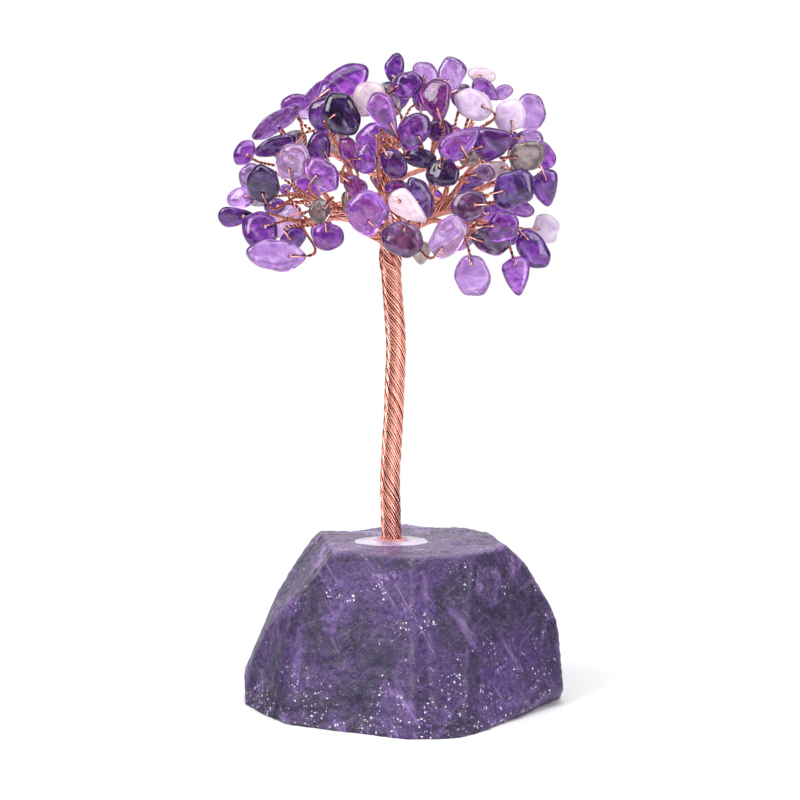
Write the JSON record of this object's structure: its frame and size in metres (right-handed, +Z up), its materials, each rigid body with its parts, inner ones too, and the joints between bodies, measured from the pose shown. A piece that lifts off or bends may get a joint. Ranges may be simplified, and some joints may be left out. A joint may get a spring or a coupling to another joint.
{
  "type": "gemstone tree ornament",
  "caption": "Ornamental tree: drilled tumbled purple stone chips on twisted copper wire twigs, limbs and trunk, glued upright in a rough-cut purple stone base with a flat foot.",
  "frame": {"origin": "on the table plane, straight under the foot of the trunk", "axes": "+Z up along the trunk, +X to the right seen from the front, the front faces -Y"},
  "size_m": [0.0803, 0.0733, 0.152],
  "materials": {
    "tumbled_amethyst": "gloss",
    "rough_amethyst": "satin",
    "copper_wire": "gloss",
    "cured_glue": "satin"
  },
  "bodies": {
    "root": {"back_centre_low_chips": "tumbled_amethyst", "back_centre_low_wires": "copper_wire", "back_centre_top_chips": "tumbled_amethyst", "back_centre_top_wires": "copper_wire", "back_left_low_chips": "tumbled_amethyst", "back_left_low_wires": "copper_wire", "back_left_top_chips": "tumbled_amethyst", "back_left_top_wires": "copper_wire", "back_limb": "copper_wire", "back_right_low_chips": "tumbled_amethyst", "back_right_low_wires": "copper_wire", "back_right_top_chips": "tumbled_amethyst", "back_right_top_wires": "copper_wire", "base_stone": "rough_amethyst", "centre_crest_chips": "tumbled_amethyst", "centre_crest_wires": "copper_wire", "centre_hanging_chips": "tumbled_amethyst", "centre_hanging_wires": "copper_wire", "centre_heart_chips": "tumbled_amethyst", "centre_heart_wires": "copper_wire", "centre_limb": "copper_wire", "centre_low_chips": "tumbled_amethyst", "centre_low_wires": "copper_wire", "glue_patch": "cured_glue", "left_crest_chips": "tumbled_amethyst", "left_crest_wires": "copper_wire", "left_heart_chips": "tumbled_amethyst", "left_heart_wires": "copper_wire", "left_inner_chips": "tumbled_amethyst", "left_inner_wires": "copper_wire", "left_limb": "copper_wire", "left_low_chips": "tumbled_amethyst", "left_low_wires": "copper_wire", "left_middle_chips": "tumbled_amethyst", "left_middle_wires": "copper_wire", "left_top_chips": "tumbled_amethyst", "left_top_wires": "copper_wire", "right_crest_inner_chips": "tumbled_amethyst", "right_crest_inner_wires": "copper_wire", "right_crest_outer_chips": "tumbled_amethyst", "right_crest_outer_wires": "copper_wire", "right_heart_chips": "tumbled_amethyst", "right_heart_wires": "copper_wire", "right_limb": "copper_wire", "right_low_chips": "tumbled_amethyst", "right_low_wires": "copper_wire", "right_middle_chips": "tumbled_amethyst", "right_middle_wires": "copper_wire", "right_outer_chips": "tumbled_amethyst", "right_outer_wires": "copper_wire", "right_shoulder_chips": "tumbled_amethyst", "right_shoulder_wires": "copper_wire", "right_tip_chips": "tumbled_amethyst", "right_tip_wires": "copper_wire", "trunk_core": "copper_wire", "trunk_wires": "copper_wire"}
  },
  "joints": []
}
